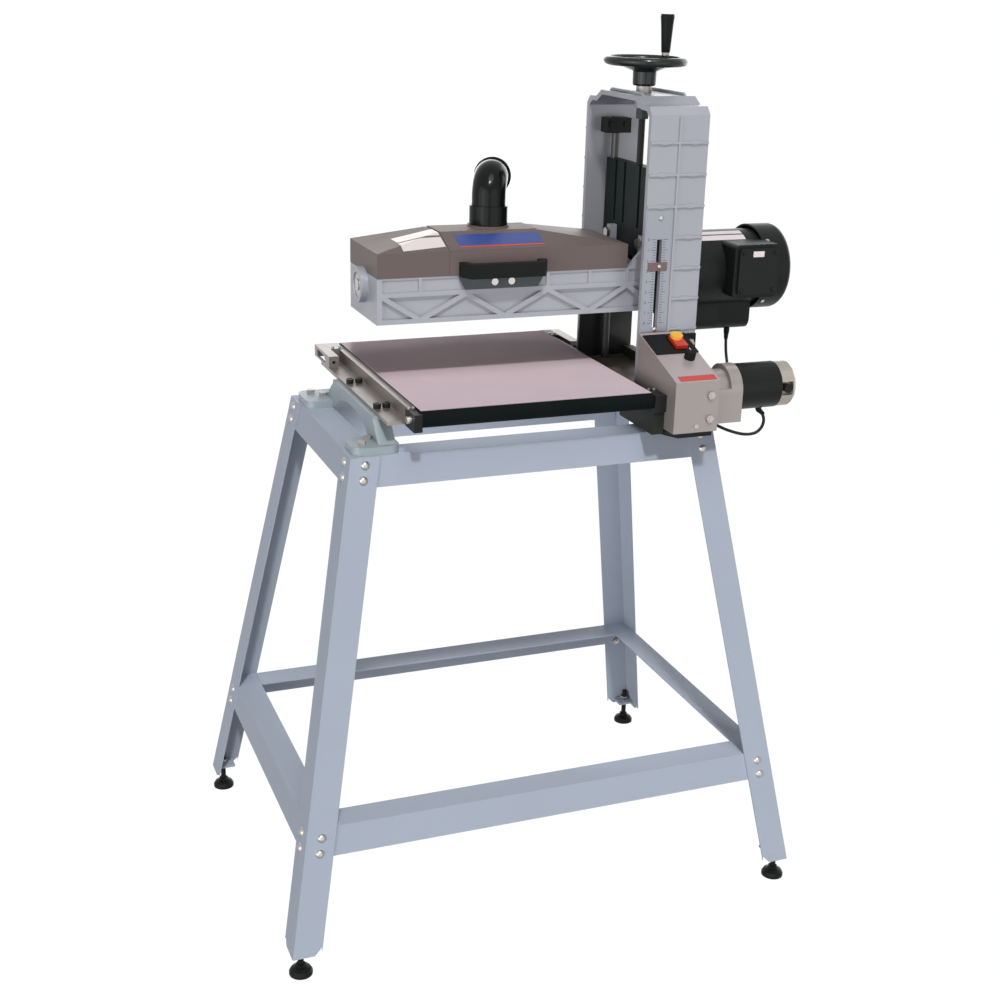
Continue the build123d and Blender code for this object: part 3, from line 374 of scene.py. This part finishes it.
# edge radius of each node that has soft edges, in mm
BEVELS = {
    "column_casting": 1.6, "head_casting": 1.0, "arch_bracket": 3.0, "base_casting": 2.0,
    "cover_handle": 2.5, "control_box": 1.2, "conveyor_bed": 0.6, "rail_left": 0.8,
    "rail_right": 0.8, "roller_blocks": 1.2, "take_up_brackets": 0.8, "feed_gearbox": 2.0,
    "feed_motor": 1.0, "junction_box": 1.6, "carriage": 1.2, "capacitor_cover": 1.5,
    "motor_housing": 1.2, "motor_adapter": 1.0, "crank_hardware": 0.6, "handwheel": 0.8,
    "dust_cover": 0.7, "switch_paddle": 1.0, "speed_knob": 0.8, "safety_key": 0.8,
    "machine_bolts": 0.5, "head_bolts": 0.5, "scale_plate": 0.2, "control_bracket": 0.6,
    "control_panel": 0.5,
}


def finish_nodes():
    slots = {p["node"]: p["material_slot"] for p in frame["record"]["subparts"]}
    special = {"height_screw": SHADES["thread"], "handwheel": SHADES["wheel"],
               "carriage": SHADES["dark_cast"]}
    special.update({name: zoned(name, *finish) for name, finish in ZONES.items()})
    cast = SHADES["silver_cast"]
    # painted shade: black over the rear wall's inner face below the head, for the head's shadow
    low, high = COLUMN_BACK_SHADE
    cast.recolor(cast.inside(at(*low), at(*high)), BLACK)
    for name, node in NODES.items():
        shade = special.get(name) or SHADES[slots[name]]
        for place in node.material_slots:
            place.material = shade.material
        if name in BEVELS:
            bevel = node.modifiers.new("soft_edges", "BEVEL")
            bevel.width = BEVELS[name] * MM
            bevel.segments = 2
            bevel.limit_method = "ANGLE"
            bevel.angle_limit = math.radians(35)
            bevel.use_clamp_overlap = True


# ---------------------------------------------------------------- mesh helpers
def piece(name, build, body, shade, bevel=0.0, smooth=False):
    """A new object from a bmesh builder, riding on a body."""
    mesh = bpy.data.meshes.new(name)
    work = bmesh.new()
    build(work)
    bmesh.ops.recalc_face_normals(work, faces=work.faces)
    for face in work.faces:
        face.smooth = smooth
    work.to_mesh(mesh)
    work.free()
    made = bpy.data.objects.new(name, mesh)
    bpy.context.collection.objects.link(made)
    mesh.materials.append(SHADES[shade].material)
    if bevel:
        soft = made.modifiers.new("soft_edges", "BEVEL")
        soft.width = bevel * MM
        soft.segments = 2
        soft.limit_method = "ANGLE"
    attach(made, body)
    return made


def slab(work, corners, thick):
    """A thin plate over planar corners, raised along their normal."""
    flat = [Vector(c) for c in corners]
    normal = (flat[1] - flat[0]).cross(flat[2] - flat[1]).normalized() * thick
    low = [work.verts.new(c) for c in flat]
    high = [work.verts.new(c + normal) for c in flat]
    work.faces.new(list(reversed(low)))
    work.faces.new(high)
    count = len(flat)
    for i in range(count):
        j = (i + 1) % count
        work.faces.new((low[i], low[j], high[j], high[i]))


def lathe(work, profile, place, axis, around=32):
    """A solid of revolution from (radius, height) points along an axis."""
    turn = Vector((0, 0, 1)).rotation_difference(Vector(axis)).to_matrix()
    rings = []
    for radius, height in profile:
        row = []
        for k in range(around):
            angle = 2 * math.pi * k / around
            local = Vector((radius * math.cos(angle), radius * math.sin(angle), height))
            row.append(work.verts.new(Vector(place) + turn @ local))
        rings.append(row)
    for a, b in zip(rings, rings[1:]):
        for k in range(around):
            n = (k + 1) % around
            work.faces.new((a[k], a[n], b[n], b[k]))
    work.faces.new(list(reversed(rings[0])))
    work.faces.new(rings[-1])


def bar(work, low, high):
    """A box between two corners."""
    bmesh.ops.create_cube(work, size=1.0, matrix=Matrix.LocRotScale(
        (Vector(low) + Vector(high)) / 2, None, Vector(high) - Vector(low)))


def screw_head(work, place, axis, radius, height):
    """A plain pan head."""
    dome = [(radius, 0), (radius, height * 0.45), (radius * 0.8, height * 0.85),
            (radius * 0.35, height)]
    lathe(work, dome, place, axis, 24)


# ---------------------------------------------------------------- blank labels
# the dust cover's hipped roof: its eave, its rise, and the run of its front and left slopes
ROOF_EAVE, ROOF_RISE, ROOF_RUN, HIP_RUN = 1159.0, 22.0, 54.0, 118.0
ROOF_FRONT, ROOF_LEFT = -80.0, -247.0
DRAPE_LIFT = 0.3
LABEL_UPPER = [(-199, 2), (-125, 6), (-125, -34), (-199, -35)]
LABEL_LOWER = [(-200, -42), (-125, -39), (-125, -67), (-201, -76)]
# the roof's raised middle band, with a blue strip over a red line
BAND_RAISE = 1.6
BAND_LEFT, BAND_RIGHT = -101, 50
BLUE_FROM, BLUE_TO = -69, -37
RED_FROM, RED_TO = -73, -69.5
LABEL_T = 0.35 * MM
# the control box's sloping top
BOX_FRONT, BOX_FRONT_Z, BOX_RUN, BOX_RISE = -281, 963, 146, 51
BOX_STRIP = [(216, -278), (284, -278), (284, -264), (216, -264)]
JUNCTION_LID = -104  # front face of the junction box's lid
JUNCTION_LABEL = [(438, 1131), (460, 1131), (460, 1141), (438, 1141)]
MOTOR_AXIS_Z = 1095
MOTOR_LABEL_RADIUS = 69.15
MOTOR_LABEL_LEFT, MOTOR_LABEL_RIGHT = 336, 458
# shade and angles above the horizontal, in degrees, of each label along the motor's front
MOTOR_LABELS = {
    "motor_label_low": ("label_white", 55, 66),
    "motor_label_high": ("label_white", 69, 79),
    "motor_label_line": ("label_blue", 67, 68.4),
}


def roof(x, y, lift=0.0):
    """A point on the cover's front slope."""
    return at(x, y, ROOF_EAVE + (y - ROOF_FRONT) / ROOF_RUN * ROOF_RISE + lift + 0.05)


def box_top(x, y, lift=0.0):
    """A point on the control box's sloping top."""
    return at(x, y, BOX_FRONT_Z + (y - BOX_FRONT) / BOX_RUN * BOX_RISE + lift)


def drape(work, corners, across=30, along=16):
    """A thin sheet over the hipped roof: corners are (x, y), in order round the sheet."""
    def spot(u, v):
        (ax, ay), (bx, by), (cx, cy), (dx, dy) = corners
        x = (ax * (1 - u) + bx * u) * (1 - v) + (dx * (1 - u) + cx * u) * v
        y = (ay * (1 - u) + by * u) * (1 - v) + (dy * (1 - u) + cy * u) * v
        rise = min((y - ROOF_FRONT) / ROOF_RUN, (x - ROOF_LEFT) / HIP_RUN, 1.0)
        return at(x, y, ROOF_EAVE + rise * ROOF_RISE + DRAPE_LIFT)

    grid = [[work.verts.new(spot(i / across, j / along)) for i in range(across + 1)]
            for j in range(along + 1)]
    faces = []
    for low, high in zip(grid, grid[1:]):
        for i in range(across):
            faces.append(work.faces.new((low[i], low[i + 1], high[i + 1], high[i])))
    bmesh.ops.recalc_face_normals(work, faces=faces)
    bmesh.ops.solidify(work, geom=faces, thickness=-LABEL_T)


def band(low, high):
    """A builder of a strip across the roof's raised band, between two depths."""
    corners = [(BAND_LEFT, low), (BAND_RIGHT, low), (BAND_RIGHT, high), (BAND_LEFT, high)]
    return lambda work: slab(work, [roof(x, y, BAND_RAISE) for x, y in corners], LABEL_T)


def motor_label(low, high, steps=6):
    """A builder of a label wrapped on the motor's front, between two angles in degrees."""
    def build(work):
        for k in range(steps):
            a, b = (math.radians(low + (high - low) * (k + i) / steps) for i in (0, 1))
            points = [(MOTOR_LABEL_LEFT, a), (MOTOR_LABEL_RIGHT, a),
                      (MOTOR_LABEL_RIGHT, b), (MOTOR_LABEL_LEFT, b)]
            corners = [at(x, -MOTOR_LABEL_RADIUS * math.cos(t),
                          MOTOR_AXIS_Z + MOTOR_LABEL_RADIUS * math.sin(t)) for x, t in points]
            slab(work, corners, LABEL_T)

    return build


def build_labels():
    def box_strip(work):
        slab(work, [box_top(x, y, 0.05) for x, y in BOX_STRIP], LABEL_T)

    def junction_label(work):
        slab(work, [at(x, JUNCTION_LID - 0.05, z) for x, z in JUNCTION_LABEL], LABEL_T)

    piece("cover_label_upper", lambda work: drape(work, LABEL_UPPER), "cover", "label_white")
    piece("cover_label_lower", lambda work: drape(work, LABEL_LOWER), "cover", "label_white")
    piece("cover_band_blue", band(BLUE_FROM, BLUE_TO), "cover", "label_blue")
    piece("cover_band_red", band(RED_FROM, RED_TO), "cover", "label_red")
    piece("box_strip", box_strip, "frame", "label_red")
    piece("junction_label", junction_label, "head", "label_white")
    for name, (shade, low, high) in MOTOR_LABELS.items():
        piece(name, motor_label(low, high), "head", shade)


# ---------------------------------------------------------------- scale
SCALE_FACE = -130.75
SLOT_LEFT, SLOT_RIGHT = 230.5, 243.5  # edges of the plate's slot, where the ticks begin
FIRST_TICK, TICK_PITCH, TICKS = 1030, 4.5, 33
LONG_TICK, SHORT_TICK = 9, 5
TICK_HALF_HEIGHT, TICK_T = 0.45, 0.1
TICKS_PER_NUMBER = 4
NUMBER_X, FIRST_NUMBER, NUMBER_SIZE, NUMBER_T = 216, 1028, 7, 0.05
SCALE_SCREWS = (1018.5, 1210)


def build_scale():
    def ticks(work):
        for k in range(TICKS):
            z = FIRST_TICK + TICK_PITCH * k
            long = SHORT_TICK if k % TICKS_PER_NUMBER else LONG_TICK
            for left in (SLOT_RIGHT, SLOT_LEFT - long):
                bar(work, at(left, SCALE_FACE, z - TICK_HALF_HEIGHT),
                    at(left + long, SCALE_FACE + TICK_T, z + TICK_HALF_HEIGHT))

    piece("scale_ticks", ticks, "frame", "ink")
    last = TICKS // TICKS_PER_NUMBER
    for k in range(last + 1):
        text = bpy.data.curves.new(f"scale_number_{k}", "FONT")
        text.body = str(last - k)
        text.size = NUMBER_SIZE * MM
        text.extrude = NUMBER_T * MM
        text.align_x = "CENTER"
        number = bpy.data.objects.new(f"scale_number_{k}", text)
        number.location = at(NUMBER_X, SCALE_FACE - 0.02,
                             FIRST_NUMBER + TICKS_PER_NUMBER * TICK_PITCH * k)
        number.rotation_euler = (math.radians(90), 0, 0)
        bpy.context.collection.objects.link(number)
        text.materials.append(SHADES["ink"].material)
        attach(number, "frame")

    def screws(work):
        for z in SCALE_SCREWS:
            screw_head(work, at(237, -130.7, z), (0, -1, 0), 4.2 * MM, 2.2 * MM)

    piece("scale_screws", screws, "frame", "zinc", smooth=True)


# ---------------------------------------------------------------- screws and small trim
FAN_X, FAN_RADIUS = 494, 77
BELL_X, BELL_Y, BELL_Z, BELL_SCREW_RISE = 455, -218, 931, 24
PANEL_T = 2
KNOB_X, KNOB_Y, KNOB_TOP = 263, -215, 15.45


def build_screws():
    def lid_screws(work):
        for x in (419, 483):
            for z in (1071, 1139):
                screw_head(work, at(x, JUNCTION_LID, z), (0, -1, 0), 4 * MM, 2.5 * MM)

    def fan_screws(work):
        for k in range(4):
            angle = math.radians(45 + 90 * k)
            normal = Vector((0, -math.cos(angle), math.sin(angle)))
            rim = at(FAN_X, 0, MOTOR_AXIS_Z) + normal * FAN_RADIUS * MM
            screw_head(work, rim, normal, 4 * MM, 2.5 * MM)

    def bell_screws(work):
        for sign in (-1, 1):
            screw_head(work, at(BELL_X, BELL_Y, BELL_Z + sign * BELL_SCREW_RISE), (1, 0, 0),
                       4 * MM, 3 * MM)
        bearing_cap = [(12 * MM, 0), (12 * MM, 2 * MM), (9 * MM, 3.5 * MM)]
        lathe(work, bearing_cap, at(BELL_X - 0.2, BELL_Y, BELL_Z), (1, 0, 0))

    def pointer_screw(work):
        screw_head(work, at(238, -132.5, 1128), (0, -1, 0), 3.6 * MM, 2.2 * MM)

    piece("junction_lid_screws", lid_screws, "head", "black_steel", smooth=True)
    piece("fan_cover_screws", fan_screws, "head", "zinc", smooth=True)
    piece("feed_bell_screws", bell_screws, "frame", "zinc", smooth=True)
    piece("pointer_screw", pointer_screw, "head", "zinc", smooth=True)


def build_panel_trim():
    slope = math.atan2(BOX_RISE, BOX_RUN)
    normal = Vector((0, -math.sin(slope), math.cos(slope)))
    rise = Vector((0, math.cos(slope), math.sin(slope)))

    def panel_screws(work):
        for x in (214, 282):
            for y in (-195, -149):
                screw_head(work, box_top(x, y) + normal * PANEL_T * MM, normal, 2.6 * MM, 1.6 * MM)

    def knob_line(work):
        top = box_top(KNOB_X, KNOB_Y) + normal * KNOB_TOP * MM
        start, end = top + rise * 2 * MM, top + rise * 8.5 * MM
        half = Vector((0.7 * MM, 0, 0))
        slab(work, [start - half, start + half, end + half, end - half], 0.3 * MM)

    piece("panel_screws", panel_screws, "frame", "black_steel", smooth=True)
    piece("knob_line", knob_line, "knob", "label_white")


# the column's crown ribs, (y, z) round one rib, and the raised lenses on its two side walls
CROWN_RIB = [(-66, 1404.9), (66, 1404.9), (58, 1410), (-58, 1410)]
CROWN_RIBS_X, CROWN_RIB_T = (224, 303), 5
WALL_FACE = 129.4
LENS_ROWS, FIRST_LENS, LENS_PITCH = 7, 1018, 52.7
LENS_LEFT, LENS_RIGHT = (209.5, 261), (265.5, 317.5)
LENS_HALF_HEIGHT, LENS_T = 4.2, 3.3
SCALE_TOP = 1226  # the scale takes the front wall's left side up to here


def build_column_trim():
    def crown(work):
        for x in CROWN_RIBS_X:
            slab(work, [at(x - CROWN_RIB_T / 2, y, z) for y, z in CROWN_RIB], CROWN_RIB_T * MM)

    def rib_lenses(work):
        for sign in (-1, 1):
            for k in range(LENS_ROWS):
                z = FIRST_LENS + LENS_PITCH * k
                beside_scale = sign < 0 and z < SCALE_TOP
                for x0, x1 in [LENS_RIGHT] if beside_scale else [LENS_LEFT, LENS_RIGHT]:
                    middle = (x0 + x1) / 2
                    lens = [(x0, z), (middle, z - LENS_HALF_HEIGHT),
                            (x1, z), (middle, z + LENS_HALF_HEIGHT)]
                    order = lens if sign < 0 else lens[::-1]
                    slab(work, [at(px, sign * WALL_FACE, pz) for px, pz in order], LENS_T * MM)

    piece("column_crown_ribs", crown, "frame", "silver_cast", bevel=1.2)
    piece("column_rib_lenses", rib_lenses, "frame", "silver_cast", bevel=1.0)


# ---------------------------------------------------------------- leads
CORD_D = 5.5 * MM
# routes in mm, from where each lead leaves its motor to the control box
FEED_LEAD = [(405, -217, 886), (414.7, -217, 877.3), (419.7, -216, 863.6), (415.8, -215, 849.1),
             (403, -213, 839.5), (377.5, -209, 839.8), (331, -203, 857.5), (294, -191, 882)]
MOTOR_LEAD = [(444, -20, 978.7), (444, -20, 955), (441, -34, 927), (437, -54, 905), (418, -85, 888),
              (384, -115, 880), (338, -137, 884), (294, -150, 892)]


def cord_curve(name, route):
    data = bpy.data.curves.new(name, "CURVE")
    data.dimensions = "3D"
    data.bevel_depth = CORD_D / 2
    data.bevel_resolution = 6
    data.resolution_u = 16
    data.use_fill_caps = True
    spline = data.splines.new("NURBS")
    spline.points.add(len(route) - 1)
    for point, place in zip(spline.points, route):
        point.co = (*at(*place), 1.0)
    spline.order_u = 3
    spline.use_endpoint_u = True
    made = bpy.data.objects.new(name, data)
    bpy.context.collection.objects.link(made)
    data.materials.append(SHADES["lead"].material)
    return made


def as_tube(curve):
    """The curve as a smooth mesh tube, with the points of its line."""
    data = curve.data
    data.bevel_depth = 0.0
    bare = bpy.data.meshes.new_from_object(curve)
    line = [tuple(v.co) for v in bare.vertices]
    data.bevel_depth = CORD_D / 2
    tube = bpy.data.objects.new("main_lead_tube", bpy.data.meshes.new_from_object(curve))
    bpy.context.collection.objects.link(tube)
    for face in tube.data.polygons:
        face.use_smooth = True
    bpy.data.objects.remove(curve)
    return tube, line


# radius and height in mm
RELIEF = [(5.0, -1), (5.0, 3), (4.4, 4), (4.6, 6), (4.0, 7), (4.2, 9), (3.5, 14), (2.9, 15)]


def sleeve(name, start, toward, body):
    """Tapered strain relief with two grooves, where a lead leaves its gland."""
    axis = (at(*toward) - at(*start)).normalized()

    def build(work):
        lathe(work, [(r * MM, h * MM) for r, h in RELIEF], at(*start), axis, 24)

    return piece(name, build, body, "black_plastic", smooth=True)


def build_leads():
    feed = cord_curve("feed_lead", FEED_LEAD)
    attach(feed, "frame")
    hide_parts("feed_motor_lead")
    sleeves = [sleeve("feed_lead_relief", FEED_LEAD[0], FEED_LEAD[1], "frame"),
               sleeve("feed_lead_box_relief", FEED_LEAD[-1], FEED_LEAD[-2], "frame")]
    motor, line = as_tube(cord_curve("main_lead", MOTOR_LEAD))
    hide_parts("motor_lead")
    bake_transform(motor)
    sleeves = [sleeve("main_lead_relief", MOTOR_LEAD[0], MOTOR_LEAD[1], "head"),
               sleeve("main_lead_box_relief", MOTOR_LEAD[-1], MOTOR_LEAD[-2], "frame")]


build_camera()
build_light()
finish_nodes()
build_labels()
build_scale()
build_screws()
build_panel_trim()
build_column_trim()
build_leads()
